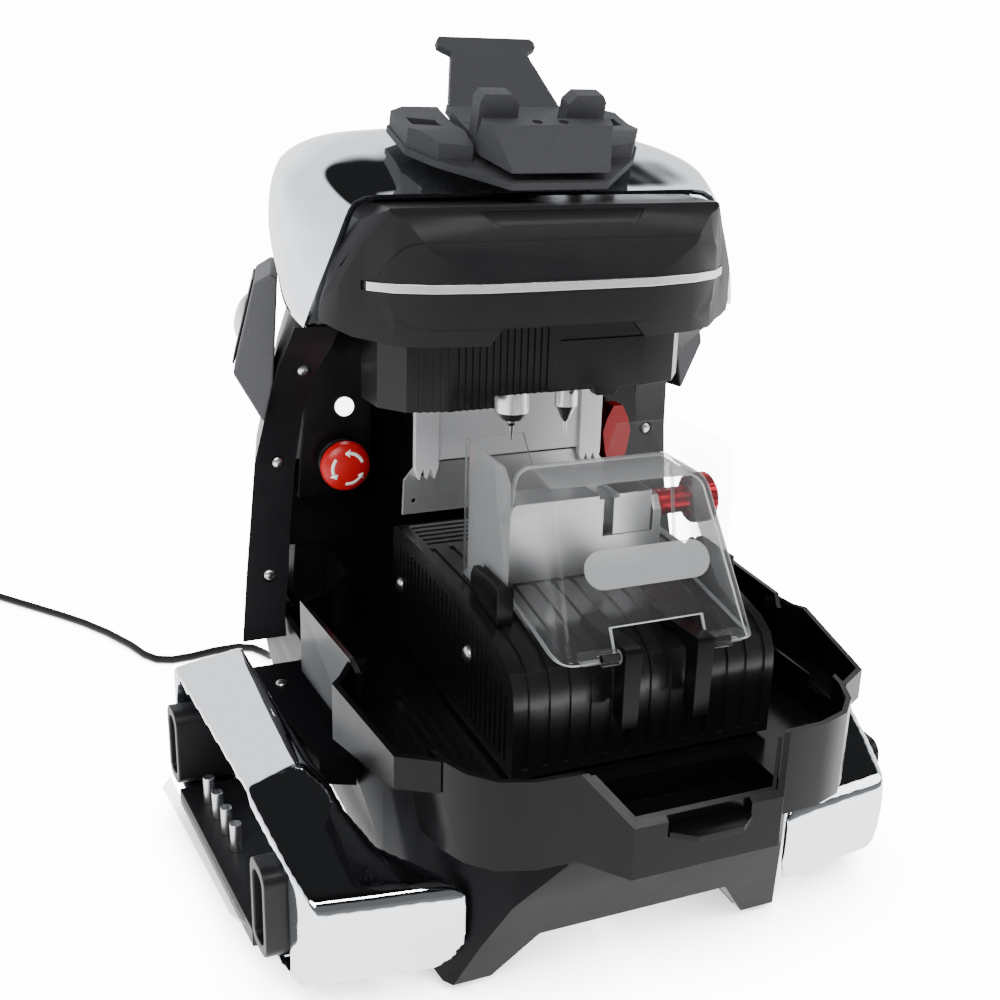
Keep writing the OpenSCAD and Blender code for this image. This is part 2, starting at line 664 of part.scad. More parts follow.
// ---- axes inside the base and the column ----
module guide_rails() color("silver") mirror_x() {
    rod_y(y_front - 6, y_rear + 6, rail_x, y_axis_z, rail_r);
    rod_z(z_low - 4, z_high + 4, 34, z_axis_y, rail_r);
}
module axis_motors() color("#303034") {
    difference() {
        box([-21, y_rear + 2, y_axis_z - 21], [21, y_rear + 32, y_axis_z + 21]);
        rod_y(y_rear, y_rear + 14, 0, y_axis_z, screw_r + bore);
    }
    difference() {
        box([-21, z_axis_y - 21, z_high + 4], [21, z_axis_y + 21, z_high + 40]);
        rod_z(z_high, z_high + 18, 0, z_axis_y, screw_r + bore);
    }
}
module control_board() color("#1f5b34") {
    box([-70, 131, 140], [70, 132.6, 204]);
    mirror_x() for (z = [146, 198]) rod_y(129, 131, 62, z, 3);
    for (x = [-50 : 25 : 50]) box([x - 8, 132.6, 150], [x + 8, 142, 166]);
    box([-20, 132.6, 176], [20, 136, 194]);
}
module y_screw() color("silver") rod_y(y_front - 2, y_rear + 12, 0, y_axis_z, screw_r);
module z_screw() color("silver") rod_z(z_low - 4, z_high + 16, 0, z_axis_y, screw_r);

spindle_at = [-tool_gap / 2, 17];
probe_at = [tool_gap / 2, 17];
arm_z = [322, 338];
module z_carriage() color("#9a9ca0") difference() {
    union() {
        box([-44, 88, 298], [44, 112, 339]);
        box([-38, 60, arm_z[0]], [38, 90, arm_z[1]]);
        translate([0, 0, arm_z[0]]) linear_extrude(arm_z[1] - arm_z[0])
            polygon([[-38, 62], [-38, 40], [-32, 7], [32, 7], [38, 40], [38, 62]]);
    }
    mirror_x() rod_z(290, 345, 34, z_axis_y, rail_r + bore);
    rod_z(290, 345, 0, z_axis_y, screw_r + bore);
    rod_z(310, 345, spindle_at[0], spindle_at[1], 7 + bore);
    rod_z(310, 345, probe_at[0], probe_at[1], 6.8);
    box([-26, 44, arm_z[0] - 1], [26, 76, arm_z[1] - 4]);
}
module spindle_motor() color("#2a2a2e") difference() {
    union() {
        rod_z(arm_z[1], 362, spindle_at[0], spindle_at[1], 9.4);
        rod_z(361.5, 385, spindle_at[0], spindle_at[1], 15);
    }
    rod_z(arm_z[1] - 1, 350, spindle_at[0], spindle_at[1], 4 + bore);
}
module spindle() color("#b9bbbe") translate([spindle_at[0], spindle_at[1], 0]) difference() {
    rotate_extrude() polygon([[0, 278], [6, 278], [nose_d / 2, 283], [nose_d / 2, 311],
        [9, 312], [9, 321.6], [7, 321.6], [7, arm_z[1] - 0.3], [4, arm_z[1]], [4, 349],
        [0, 349]]);
    rod_z(270, 290, 0, 0, 3);
    // set screw
    translate([0, 0, 297]) rotate([0, 90, 0]) cylinder(r = 2, h = 20, $fn = 6);
}
module cutter() color("#55585c") translate([spindle_at[0], spindle_at[1], 0])
    rotate_extrude() polygon([[0, tip_z], [0.6, tip_z], [1.6, 271], [1.6, 274], [3, 276],
        [3, 290], [0, 290]]);
module probe_holder() color("#b9bbbe") translate([probe_at[0], probe_at[1], 0]) difference() {
    rotate_extrude() polygon([[0, tip_z], [0.5, tip_z], [1.1, 271], [1.1, 274],
        [2.6, 276], [5.4, 282], [6.8, 284], [6.8, arm_z[1]], [0, arm_z[1]]]);
    translate([0, -4.5, 294]) rotate([90, 0, 0]) cylinder(r = 2, h = 20, $fn = 6);
}

// ---- shroud of the tools ----
shroud_plan = [[0, 4], [62, 4], [84, 9], [97, 26], [99, 50]];
shroud_plan_in = [[0, 7], [61, 7], [82, 11.6], [94, 27], [96, 51]];
split_x = 6;
rib_z = 289;
cover_z = 296;
shroud_top = 338;
// Half of the shroud for x > 0: wall, floor and the post that hangs it in the head
module shroud_half(low, low_to) difference() {
    union() {
        translate([0, 0, low]) linear_extrude(shroud_top - low)
            polygon(concat(shroud_plan, [[0, 50]]));
        box([92, 42, 330], [98, 50, head_z - wall]);
    }
    translate([0, 0, cover_z + wall]) linear_extrude(60)
        polygon(concat(shroud_plan_in, [[0, 51]]));
    translate([0, 0, low + wall]) linear_extrude(60) intersection() {
        polygon(concat(shroud_plan_in, [[0, 51]]));
        translate([low_to, 0]) square([100, 60]);
    }
    translate([0, 0, low - 1]) cube([low_to - 3, 60, cover_z - low + 1]);
}
module spindle_housing() color("#151517") difference() {
    union() {
        mirror([1, 0, 0]) shroud_half(rib_z, 37);
        box([0, 4, cover_z], [split_x, 50, cover_z + wall]);
        box([0, 4, cover_z], [split_x, 7, shroud_top]);
    }
    rod_z(280, 310, spindle_at[0], spindle_at[1], nose_d / 2 + 0.6);
    // vertical ribs on the front
    for (i = [0 : 13]) box([-60 + i * 4.2 + 1.5, 2, 270], [-60 + i * 4.2 + 4.2, 5.2, 350]);
    for (i = [0 : 5]) translate([-62, 4, 0]) rotate([0, 0, -12.8])
        box([-22.5 + i * 4.2 - 1.2, -3, 270], [-22.5 + i * 4.2 + 1.2, 1.2, 350]);
}
module probe_cover() color("#1a1a1c") difference() {
    intersection() {
        shroud_half(cover_z, 0);
        box([split_x, 0, 0], [200, 60, 500]);
    }
    rod_z(280, 310, probe_at[0], probe_at[1], 7.6);
    // stepped front edge
    box([split_x - 1, 0, 326], [60, 5.2, 328]);
}
module work_light() color("#0d0d0e") intersection() {
    along_y(13, 25) polygon([[33, cover_z], [53, cover_z], [49, 288.5], [37, 288.5]]);
    along_x(200) polygon([[13, cover_z], [25, cover_z], [23, 288], [15, 288]]);
}

// ---- Y carriage and table ----
x_axis_y = -31;
x_axis_z = 161;
way_y = [-53, -9];
way_z = 150;
end_x = 38.6;
module y_carriage() color("#8d9095") difference() {
    union() {
        box([-44, -60, 74], [44, -6, 102]);
        box([-16, -60, 100], [16, -6, 133]);
        box([-53, -62, 132.6], [53, -2, 138.6]);
        mirror_x() box([end_x - 4, -60, 138], [end_x, -2, 182]);
        for (y = way_y) rod_x(-end_x, end_x, y, way_z, 4);
    }
    mirror_x() rod_y(-70, 0, rail_x, y_axis_z, rail_r + bore);
    rod_y(-70, 0, 0, y_axis_z, screw_r + bore);
    rod_x(-50, 50, x_axis_y, x_axis_z, screw_r + bore);
}
module x_motor() color("#303034") difference() {
    box([-53, x_axis_y - 21, 140], [-end_x, x_axis_y + 21, 182]);
    rod_x(-50, -30, x_axis_y, x_axis_z, screw_r + bore);
}
module x_screw() color("silver") rod_x(-48, end_x + 1, x_axis_y, x_axis_z, screw_r);
module table_slide() color("#9a9ca0") difference() {
    union() {
        box([-14, -60, 142], [14, -2, 198]);
        box([-60, -58, 196], [60, 48, table_z - 3.6]);
    }
    for (y = way_y) rod_x(-20, 20, y, way_z, 4 + bore);
    rod_x(-20, 20, x_axis_y, x_axis_z, screw_r + bore);
}

table_side = [[57.5, table_low], [57.5, 201], [56, 204], [52, table_z - 0.5],
    [-5, table_z], [-60, 205.6], [-95, 200], [-116, 195], [-126, 189], [-130.5, 180],
    [-131.5, 170], [-131.5, table_low]];
table_side_in = [[54.5, table_low - 1], [54.5, 199], [50, table_z - 3.6],
    [-60, table_z - 3.6], [-94, 196], [-114, 191.4], [-122.5, 186.4], [-126.4, 179],
    [-127.4, 170], [-127.4, table_low - 1]];
// Bottom of the grooves, 1.3 mm below the ribs
table_groove = [[56.2, table_low - 1], [56.2, 203.4], [52, table_z - 1.8],
    [-5, table_z - 1.3], [-60, 204.3], [-95, 198.7], [-115.6, 193.7], [-125, 188.2],
    [-129.2, 179.8], [-130.2, 170], [-130.2, table_low - 1]];
module table_cover() color("#141416") difference() {
    along_x(table_w * 2) polygon(table_side);
    along_x(table_w * 2 - 6) polygon(table_side_in);
    // long grooves over the top and down the front
    difference() {
        for (i = [-6 : 6])
            box([i * rib_pitch - 1.7, -140, 137], [i * rib_pitch + 1.7, 8, 220]);
        along_x(200) polygon(table_groove);
    }
    // cross grooves behind the vise
    difference() {
        for (i = [0 : 5]) box([-70, 14 + i * 7, 190], [70, 17 + i * 7, 220]);
        along_x(200) polygon(table_groove);
    }
    // upright grooves on both sides
    mirror_x() for (i = [0 : 25])
        box([table_w - 1, -123 + i * side_pitch, 138],
            [table_w + 2, -120 + i * side_pitch,
                i < 4 ? 176 + i * 5 : 196]);
    for (y = cover_screw_y) rod_x(-90, 90, y[0], y[1], 5);
}
cover_screw_y = [[44.6, 169.5], [-68, 174]];
module cover_screws() color("silver") mirror_x() for (y = cover_screw_y)
    translate([table_w - 3, y[0], y[1]]) rotate([0, 90, 0]) {
        cylinder(r = 5, h = 2.6);
        translate([0, 0, 2.5]) dome_head(5);
    }

// ---- vise ----
vise_y = -45;
vise_z = 240;
vise_top = 252;
fixed_x = 7.5;
jaw_x = fixed_x + jaw_gap;
module vise_body() color("#c4c6c8") difference() {
    union() {
        // base plate and the fixed jaw
        box([-60, -57, table_z + 0.1], [44, -34, 228]);
        along_y(-57, -34) polygon([[-60, 227.9], [fixed_x, 227.9], [fixed_x, vise_top],
            [-46, vise_top], [-50, 248], [-62, 248], [-62, 236]]);
        // bracket of the clamping screw
        along_x(5, 41.5) polygon([[-57, 227.9], [-34, 227.9], [-34, 240], [-38, 247.5],
            [-52, 247.5], [-57, 240]]);
    }
    box([fixed_x + 0.1, vise_y - 4, 224], [39, vise_y + 4, 229]);
    rod_x(38, 50, vise_y, vise_z, screw_r + bore);
    // ledge for the key
    box([fixed_x - 3, -60, vise_top - 2], [fixed_x + 1, -30, vise_top + 1]);
}
module vise_jaw() color("#c4c6c8") difference() {
    union() {
        box([jaw_x, -56.6, 228.3], [37.5, -34.4, vise_top]);
        box([jaw_x, vise_y - 3.7, 224.4], [34, vise_y + 3.7, 229]);
    }
    rod_x(20, 40, vise_y, vise_z, screw_r + bore);
    box([jaw_x - 1, -60, vise_top - 2], [jaw_x + 3, -30, vise_top + 1]);
}
module vise_knob() color("red") translate([0, vise_y, 0]) {
    rod_x(28, 45, 0, vise_z, screw_r);
    rod_x(44.5, 68.1, 0, vise_z, 7.6);
    translate([68, 0, vise_z]) rotate([0, 90, 0]) difference() {
        rotate_extrude() polygon([[0, 0], [11, 0], [knob_d / 2, 2], [knob_d / 2, 12],
            [12, 14], [8, 14], [7, 12], [0, 12]]);
        for (i = [0 : 23]) rotate(i * 15) translate([knob_d / 2, 0, -1])
            rotate(45) translate([-0.8, -0.8, 0]) cube([1.6, 1.6, 20]);
    }
}

guard_y = [-92, -28.6];
guard_x = 67;
guard_t = 2.4;
guard_top = 284;
// Cut-out in the rear wall that lets the tools pass while they are up
tool_notch = [[-31, guard_top + 1], [-29, guard_top - 6], [-24, 263], [21, 263],
    [26, guard_top - 6], [28, guard_top + 1]];
module guard_ring(x, y0, y1, r) {
    translate([-x, y0]) square([2 * x, y1 - y0 - r]);
    translate([-x + r, y0]) square([2 * (x - r), y1 - y0]);
    for (side = [-1, 1]) translate([side * (x - r), y1 - r]) circle(r);
}
module rear_guard() color("#e6eef2", 0.4) difference() {
    linear_extrude(guard_top) difference() {
        guard_ring(guard_x, guard_y[0], guard_y[1], 8);
        guard_ring(guard_x - guard_t, guard_y[0] - 1, guard_y[1] - guard_t, 8 - guard_t);
    }
    box([-100, -120, -1], [100, 0, table_z + 0.8]);
    // top corners cut round
    along_x(200) polygon([[guard_y[0] - 1, 276], [guard_y[0] + 8, guard_top],
        [guard_y[0] + 8, guard_top + 1], [guard_y[0] - 1, guard_top + 1]]);
    along_y(guard_y[1] - 6, guard_y[1] + 1) polygon(tool_notch);
    // round-topped slot for the knob shaft
    rod_x(60, 70, vise_y, vise_z, 8.5);
    box([60, vise_y - 8.5, 200], [70, vise_y + 8.5, vise_z]);
}

hinge_y = -146;
hinge_z = 200.5;
module guard_brackets() color("#101012") {
    // clamp blocks of the guard
    mirror_x() difference() {
        along_x(9, 66.5) polygon([[-94, 200.16], [-60, 205.6], [-56, 205.67], [-56, 216],
            [-60, 222], [-94, 222]]);
        box([guard_x - guard_t, guard_y[0], table_z + 0.8], [guard_x, -28, 230]);
    }
    // brackets of the front cover
    mirror_x() {
        along_x(9.4, 20.7) polygon([[-99, 199.04], [-99, 203.4], [-120, 203.8],
            [-142, 204.8], [-149, 204.8], [-150, 202], [-150, 161], [-139, 165],
            [-139, 195.5], [-120, 198.6], [-113, 195.72]]);
        rod_x(16, 37, hinge_y, hinge_z, 2);
    }
}

cover_side = [[-58, 275], [-96, 275], [-100, 272.5], [-143, 197], [-128, 197],
    [-116, 199.6], [-95, 204.6], [-60, 209.8], [-58, 209.8]];
cover_side_in = [[-57, 272.5], [-95.4, 272.5], [-98, 271], [-140.6, 196], [-57, 196]];
module front_cover() color("#e6eef2", 0.4) difference() {
    union() {
        difference() {
            intersection() {
                along_x(200) polygon(cover_side);
                along_y(-160, 0) polygon(both([[0, 275], [47, 275], [50, 272.5],
                    [57, 197], [0, 197]]));
            }
            intersection() {
                along_x(200) polygon(cover_side_in);
                along_y(-160, 0) polygon(both([[0, 272.5], [47, 272.5], [54.5, 196],
                    [0, 196]]));
            }
        }
        // hinge feet
        mirror_x() {
            rod_x(27, 37, hinge_y, hinge_z, 4);
            along_x(10, 32) polygon([[-146, 197.5], [-137.5, 197.5], [-138, 204],
                [-146, 204.4]]);
            along_x(20, 47) polygon([[-146, 197], [-140, 197], [-138, 202.5], [-145, 202.5]]);
        }
        // bare oval plate
        translate([0, -120.6, 237]) rotate([60.4, 0, 0]) hull() mirror_x()
            translate([26, 0, -0.5]) cylinder(r = 10, h = 1.6);
    }
    box([-26, -160, 190], [26, -110, 211]);
    mirror_x() rod_x(20, 40, hinge_y, hinge_z, 2 + bore);
}

// ---- cord ----
gland_at = [-96, 58];
cord_r = cord_d / 2;
module cord_gland() color("#151515") translate([gland_at[0], 0, gland_at[1]])
    rotate([-90, 0, 0]) difference() {
        union() {
            translate([0, 0, rear_y - 6]) cylinder(r = 7, h = 7);
            translate([0, 0, rear_y]) cylinder(r = 10, h = 4);
            translate([0, 0, rear_y + 3.9]) cylinder(r1 = 7.5, r2 = 4.4, h = 26);
        }
        translate([0, 0, rear_y - 2]) cylinder(r = cord_r, h = 40);
    }

// Route of the cord from the gland to the coil
cord_route = [[-96, 206, 58], [-96, 222, 58], [-96, 240, 57], [-96, 255, 51],
    [-96.5, 268, 40], [-97.5, 280, 27], [-99, 292, 14], [-101, 305, 5], [-104, 318, 3.2],
    [-110, 329, 3], [-122, 335, 3], [-142, 334, 3], [-160, 330, 3], [-176, 329, 3],
    [-188, 334, 3], [-196, 346, 3], [-204, 368, 3], [-219, 399, 3], [-236, 427, 3],
    [-253, 450, 3], [-272, 474, 3], [-292, 499, 3], [-310, 522, 3], [-326, 541, 3],
    [-346, 555, 3]];
coil_at = [-375, 524];
coil_r = 33;
// Ring of points around each point of the route, square to the way there
function unit(v) = v / norm(v);
function way(p, i) = unit(p[min(i + 1, len(p) - 1)] - p[max(i - 1, 0)]);
function tube_ring(p, i, r, n) = let (w = way(p, i), a = unit(cross(w, [0, 0, 1] + 0.3 * w)),
    b = cross(a, w)) [for (k = [0 : n - 1]) p[i] + r * (a * cos(360 * k / n)
        + b * sin(360 * k / n))];
module tube(p, r, n = 8) polyhedron(
    [for (i = [0 : len(p) - 1]) each tube_ring(p, i, r, n)],
    concat([[for (k = [0 : n - 1]) k]],
        [for (i = [0 : len(p) - 2], k = [0 : n - 1]) [i * n + k, (i + 1) * n + k,
            (i + 1) * n + (k + 1) % n, i * n + (k + 1) % n]],
        [[for (k = [n - 1 : -1 : 0]) (len(p) - 1) * n + k]]));
module cord_lead() color("#101010") tube(cord_route, cord_r);
module cord_coil() color("#101010") translate([coil_at[0], coil_at[1], 0])
    rotate_extrude() translate([coil_r - 9, 0]) square([18, 2 * cord_d]);
module cord_plug() color("#101010") translate([-354, 473, 0]) rotate([0, 0, 90]) {
    linear_extrude(16) polygon([[-8, -12], [8, -12], [10, -6], [10, 8], [4, 12.1],
        [-4, 12.1], [-10, 8], [-10, -6]]);
    for (x = [-6, 6]) rod_y(-31, -12, x, 9, 2);
}

base_shell();
base_plate();
rubber_feet();
chip_tray();
left_side_frame();
right_side_frame();
frame_screws();
rear_housing();
rear_cover();
left_inner_panel();
right_inner_panel();
estop_base();
status_lamp();
side_ears();
ear_badges();
column_guard();
guard_curtain();
head_shell();
head_strip();
chrome_hood();
phone_mount();
left_pod();
right_pod();
pod_end_caps();
bit_shelves();
spare_bits();
pod_windows();
guide_rails();
axis_motors();
control_board();
y_screw();
z_screw();
z_carriage();
spindle_housing();
probe_cover();
work_light();
spindle_motor();
probe_holder();
spindle();
cutter();
y_carriage();
x_motor();
x_screw();
table_slide();
table_cover();
cover_screws();
vise_body();
rear_guard();
guard_brackets();
vise_jaw();
vise_knob();
front_cover();
chip_drawer();
estop_button();
switch_handle();
phone_cradle();
cord_gland();
cord_lead();
cord_coil();
cord_plug();
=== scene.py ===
import math

import bmesh
import bpy
from mathutils import Matrix, Vector


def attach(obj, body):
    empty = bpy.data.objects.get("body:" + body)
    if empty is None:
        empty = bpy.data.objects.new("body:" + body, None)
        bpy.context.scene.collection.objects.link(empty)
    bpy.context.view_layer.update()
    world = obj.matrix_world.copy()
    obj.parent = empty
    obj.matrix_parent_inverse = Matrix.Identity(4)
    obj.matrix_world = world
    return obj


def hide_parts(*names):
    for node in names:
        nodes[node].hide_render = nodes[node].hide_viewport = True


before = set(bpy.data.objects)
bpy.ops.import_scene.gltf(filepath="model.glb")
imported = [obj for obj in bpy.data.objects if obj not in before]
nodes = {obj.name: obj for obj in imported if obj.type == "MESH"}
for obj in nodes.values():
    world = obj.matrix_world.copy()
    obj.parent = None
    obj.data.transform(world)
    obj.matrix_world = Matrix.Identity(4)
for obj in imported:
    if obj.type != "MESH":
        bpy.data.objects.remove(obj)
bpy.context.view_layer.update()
MM = 0.001


# ---- camera and room ----

def place_camera():
    azimuth, elevation, roll = (math.radians(a) for a in (-23.4, 19.2, 1.68))
    back = Vector((math.sin(azimuth) * math.cos(elevation),
                   -math.cos(azimuth) * math.cos(elevation), math.sin(elevation)))
    right = Vector((math.cos(azimuth), math.sin(azimuth), 0))
    up = back.cross(right)
    turned_right = right * math.cos(roll) + up * math.sin(roll)
    turned_up = up * math.cos(roll) - right * math.sin(roll)
    turn = Matrix((turned_right, turned_up, back)).transposed().to_4x4()
    data = bpy.data.cameras.new("camera")
    data.lens = 46.8
    data.sensor_width = 36
    data.clip_start = 0.05
    camera = bpy.data.objects.new("camera", data)
    camera.matrix_world = Matrix.Translation((-0.315, -0.657, 0.484)) @ turn
    bpy.context.scene.collection.objects.link(camera)
    bpy.context.scene.camera = camera


place_camera()


def link(name, mesh):
    piece = bpy.data.objects.new(name, mesh)
    bpy.context.scene.collection.objects.link(piece)
    return piece


def from_bmesh(name, bm, smooth=True):
    mesh = bpy.data.meshes.new(name)
    bm.to_mesh(mesh)
    bm.free()
    for face in mesh.polygons:
        face.use_smooth = smooth
    return link(name, mesh)


# ---- materials ----

class Finish:
    """A Principled material that is built up from a few named steps."""

    def __init__(self, name, color, rough, metal=0.0, **sockets):
        self.material = bpy.data.materials.new(name)
        self.material.use_nodes = True
        self.tree = self.material.node_tree
        self.shader = self.tree.nodes["Principled BSDF"]
        self.shader.inputs["Base Color"].default_value = (*color, 1)
        self.shader.inputs["Roughness"].default_value = rough
        self.shader.inputs["Metallic"].default_value = metal
        for socket, value in sockets.items():
            self.shader.inputs[socket.replace("_", " ")].default_value = value
        self.coords = self.tree.nodes.new("ShaderNodeTexCoord")
        self.last_bump = None

    def join(self, source, target):
        self.tree.links.new(source, target)

    def mapped(self, scale):
        mapping = self.tree.nodes.new("ShaderNodeMapping")
        mapping.inputs["Scale"].default_value = scale
        self.join(self.coords.outputs["Object"], mapping.inputs["Vector"])
        return mapping.outputs["Vector"]

    def noise(self, scale, detail=3.0, stretch=(1, 1, 1)):
        node = self.tree.nodes.new("ShaderNodeTexNoise")
        node.inputs["Scale"].default_value = scale
        node.inputs["Detail"].default_value = detail
        self.join(self.mapped(stretch), node.inputs["Vector"])
        return node.outputs["Fac"]

    def cells(self, scale):
        node = self.tree.nodes.new("ShaderNodeTexVoronoi")
        node.inputs["Scale"].default_value = scale
        self.join(self.mapped((1, 1, 1)), node.inputs["Vector"])
        return node.outputs["Distance"]

    def ramp(self, value, low, high):
        node = self.tree.nodes.new("ShaderNodeMapRange")
        node.inputs["To Min"].default_value = low
        node.inputs["To Max"].default_value = high
        self.join(value, node.inputs["Value"])
        return node.outputs["Result"]

    def rough_from(self, value, low, high):
        self.join(self.ramp(value, low, high), self.shader.inputs["Roughness"])
        return self

    def color_from(self, value, low, high):
        mix = self.tree.nodes.new("ShaderNodeMix")
        mix.data_type = "RGBA"
        mix.inputs["A"].default_value = (*low, 1)
        mix.inputs["B"].default_value = (*high, 1)
        self.join(value, mix.inputs["Factor"])
        self.join(mix.outputs["Result"], self.shader.inputs["Base Color"])
        return self

    def bump(self, value, height, strength=1.0):
        node = self.tree.nodes.new("ShaderNodeBump")
        node.inputs["Strength"].default_value = strength
        node.inputs["Distance"].default_value = height
        self.join(value, node.inputs["Height"])
        if self.last_bump:
            self.join(self.last_bump, node.inputs["Normal"])
        self.last_bump = node.outputs["Normal"]
        self.join(self.last_bump, self.shader.inputs["Normal"])
        return self


def gloss_moulding():
    f = Finish("gloss moulding", (0.0035, 0.0035, 0.004), 0.24, Specular_IOR_Level=0.22)
    f.rough_from(f.noise(60, 4), 0.18, 0.3)
    return f.bump(f.noise(700, 2), 0.00003, 0.5).material


def satin_moulding():
    f = Finish("satin moulding", (0.0075, 0.0075, 0.0085), 0.4, Specular_IOR_Level=0.2)
    f.rough_from(f.noise(45, 4), 0.32, 0.44)
    return f.bump(f.noise(2500, 3), 0.00004, 0.6).material


def body_moulding():
    f = Finish("body moulding", (0.0035, 0.0035, 0.0045), 0.4, Specular_IOR_Level=0.05)
    f.rough_from(f.noise(45, 4), 0.3, 0.42)
    return f.bump(f.noise(2500, 3), 0.00004, 0.6).material


def polished_moulding():
    f = Finish("polished moulding", (0.003, 0.003, 0.0035), 0.2, Specular_IOR_Level=0.13)
    f.rough_from(f.noise(70, 4), 0.14, 0.26)
    return f.bump(f.noise(500, 2), 0.00003, 0.5).material


def ribbed_moulding():
    f = Finish("ribbed moulding", (0.005, 0.005, 0.0055), 0.26, Specular_IOR_Level=0.6)
    f.rough_from(f.noise(70, 4), 0.2, 0.3)
    return f.bump(f.noise(600, 2), 0.00002, 0.5).material


def frame_paint():
    f = Finish("frame paint", (0.008, 0.008, 0.0095), 0.4, Specular_IOR_Level=0.22)
    f.rough_from(f.noise(80, 4), 0.3, 0.42)
    return f.bump(f.noise(1800, 4), 0.00005, 0.6).material


def grained_grey():
    f = Finish("grained grey", (0.016, 0.017, 0.019), 0.6, Specular_IOR_Level=0.22)
    f.color_from(f.noise(1400, 4), (0.018, 0.019, 0.021), (0.042, 0.043, 0.047))
    return f.bump(f.cells(1300), 0.00016, 0.8).material


def grained_light():
    f = Finish("grained light", (0.06, 0.061, 0.065), 0.6, Specular_IOR_Level=0.3)
    f.color_from(f.noise(1400, 4), (0.045, 0.046, 0.05), (0.085, 0.086, 0.092))
    return f.bump(f.cells(1300), 0.00016, 0.8).material


def mirror_chrome():
    f = Finish("mirror chrome", (0.87, 0.9, 0.94), 0.045, 1.0)
    f.rough_from(f.noise(40, 3), 0.03, 0.06)
    return f.bump(f.noise(16, 2, (1, 0.6, 1)), 0.006, 0.35).material


def turned_steel():
    f = Finish("turned steel", (0.56, 0.565, 0.57), 0.28, 1.0)
    f.rough_from(f.noise(900, 3, (1, 1, 30)), 0.2, 0.36)
    return f.bump(f.noise(500, 3, (1, 1, 40)), 0.00002, 0.6).material


def brushed_strip():
    f = Finish("brushed strip", (0.72, 0.73, 0.74), 0.25, 1.0)
    f.rough_from(f.noise(60, 3, (1, 60, 60)), 0.18, 0.34)
    return f.bump(f.noise(30, 3, (1, 80, 80)), 0.00002, 0.5).material


def cutter_steel():
    f = Finish("cutter steel", (0.2, 0.2, 0.21), 0.3, 1.0)
    return f.rough_from(f.noise(800, 3), 0.2, 0.4).material


def ground_steel():
    f = Finish("ground steel", (0.6, 0.61, 0.62), 0.3, 1.0)
    f.rough_from(f.noise(50, 3, (1, 30, 30)), 0.26, 0.36)
    return f.bump(f.noise(40, 3, (1, 50, 50)), 0.000004, 0.4).material


def matt_aluminium():
    f = Finish("matt aluminium", (0.7, 0.71, 0.72), 0.4, 1.0)
    return f.rough_from(f.noise(300, 4), 0.34, 0.46).material


def curtain_film():
    f = Finish("curtain film", (0.74, 0.75, 0.77), 0.38, 0.35)
    return f.bump(f.noise(500, 3, (1, 1, 0.1)), 0.0001, 0.6).material


def motor_paint():
    f = Finish("motor paint", (0.03, 0.03, 0.033), 0.45)
    return f.bump(f.noise(1500, 3), 0.00004, 0.5).material


def board():
    f = Finish("board", (0.02, 0.13, 0.06), 0.35)
    f.color_from(f.noise(300, 2), (0.015, 0.1, 0.045), (0.03, 0.17, 0.08))
    return f.material


def clear_plastic():
    """Thin clear walls: hardly there face on; where the eye grazes them glossy, and showing their
    grey body colour there as a painted sheen.
    """
    f = Finish("clear plastic", (0.2, 0.205, 0.21), 0.03, Alpha=0.15, Specular_IOR_Level=0.6)
    f.rough_from(f.noise(30, 2), 0.02, 0.05)
    # Alpha rises where the eye grazes the wall: the real gloss shows more there, and the grey body
    # colour with it as a painted sheen.
    edge = f.tree.nodes.new("ShaderNodeLayerWeight")
    edge.inputs["Blend"].default_value = 0.12
    f.join(f.ramp(edge.outputs["Fresnel"], 0.05, 0.95), f.shader.inputs["Alpha"])
    return f.material


def thick_clear():
    f = Finish("thick clear plastic", (0.32, 0.33, 0.335), 0.08, Alpha=0.4)
    return f.rough_from(f.noise(60, 3), 0.05, 0.14).material


def painted_rim_highlight():
    """Edges of clear walls, made lighter in colour: a painted highlight for the light that runs
    inside the wall and out at its edges.
    """
    f = Finish("clear rim", (0.62, 0.65, 0.66), 0.12, Alpha=0.6)
    return f.rough_from(f.noise(200, 2), 0.08, 0.2).material


def frosted_plastic():
    f = Finish("frosted plastic", (0.4, 0.41, 0.42), 0.35, Alpha=0.45)
    return f.rough_from(f.noise(500, 3), 0.3, 0.45).material


def red_plastic():
    f = Finish("red plastic", (0.42, 0.005, 0.006), 0.32, Specular_IOR_Level=0.3)
    return f.bump(f.noise(600, 2), 0.00002, 0.5).material


def red_anodised():
    f = Finish("red anodised", (0.6, 0.01, 0.03), 0.24, 0.85)
    return f.rough_from(f.noise(400, 3), 0.18, 0.32).material


def lamp_lens():
    return Finish("lamp lens", (0.95, 0.95, 0.95), 0.1, Emission_Color=(1, 1, 1, 1),
                  Emission_Strength=6.0).material


def black_rubber():
    f = Finish("black rubber", (0.007, 0.007, 0.0075), 0.55, Specular_IOR_Level=0.22)
    return f.bump(f.noise(900, 3), 0.00005, 0.6).material


def white_print():
    f = Finish("white print", (0.85, 0.85, 0.84), 0.4)
    return f.rough_from(f.noise(200, 2), 0.35, 0.45).material


SATIN = satin_moulding()
GLOSS = gloss_moulding()
BODY = body_moulding()
POLISHED = polished_moulding()
RIBBED = ribbed_moulding()
FRAME = frame_paint()
GRAIN = grained_grey()
PALE_GRAIN = grained_light()
CHROME = mirror_chrome()
STEEL = turned_steel()
STRIP = brushed_strip()
CUTTER = cutter_steel()
GROUND = ground_steel()
ALUMINIUM = matt_aluminium()
CURTAIN = curtain_film()
MOTOR = motor_paint()
BOARD = board()
CLEAR = clear_plastic()
THICK = thick_clear()
RIM_HIGHLIGHT = painted_rim_highlight()
FROSTED = frosted_plastic()
RED = red_plastic()
ANODISED = red_anodised()
LENS = lamp_lens()
RUBBER = black_rubber()
PRINT = white_print()


def give(piece, material):
    piece.data.materials.clear()
    piece.data.materials.append(material)


# ---- finish of the solids ----

